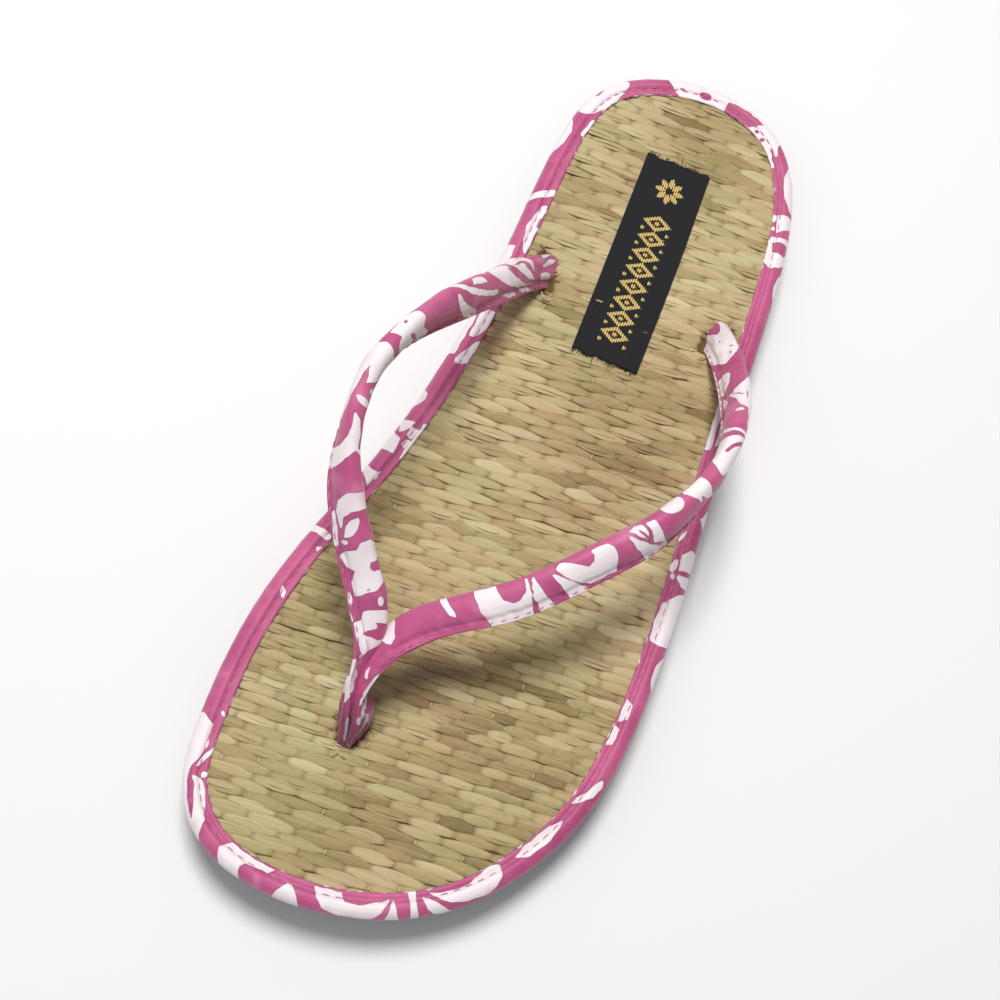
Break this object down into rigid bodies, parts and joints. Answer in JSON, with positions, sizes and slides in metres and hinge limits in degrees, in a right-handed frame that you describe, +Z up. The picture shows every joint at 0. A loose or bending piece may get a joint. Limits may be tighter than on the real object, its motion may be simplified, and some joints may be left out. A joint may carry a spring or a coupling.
{
  "type": "thong sandal",
  "caption": "Flat left thong sandal: rush mat footbed with a printed edge binding, padded printed straps joined at a toe post, foam sole with arch hollow and toe spring.",
  "frame": {"origin": "centre of the bounding box in plan, on the floor under the sole", "axes": "+X from the heel to the toe, +Y to the little-toe side, +Z up"},
  "size_m": [0.2406, 0.0957, 0.0656],
  "materials": {
    "black_foam": "matt cut foam",
    "pale_foam": "matt foam board",
    "rush": "woven dry rush",
    "binding_cloth": "printed coated cloth",
    "strap_cloth": "printed coated cloth, padded",
    "label_cloth": "woven tape"
  },
  "bodies": {
    "root": {"outsole": "black_foam", "insole": "pale_foam", "rush_mat": "rush", "edge_binding": "binding_cloth", "thong_strap": "strap_cloth", "heel_label": "label_cloth"}
  },
  "joints": []
}
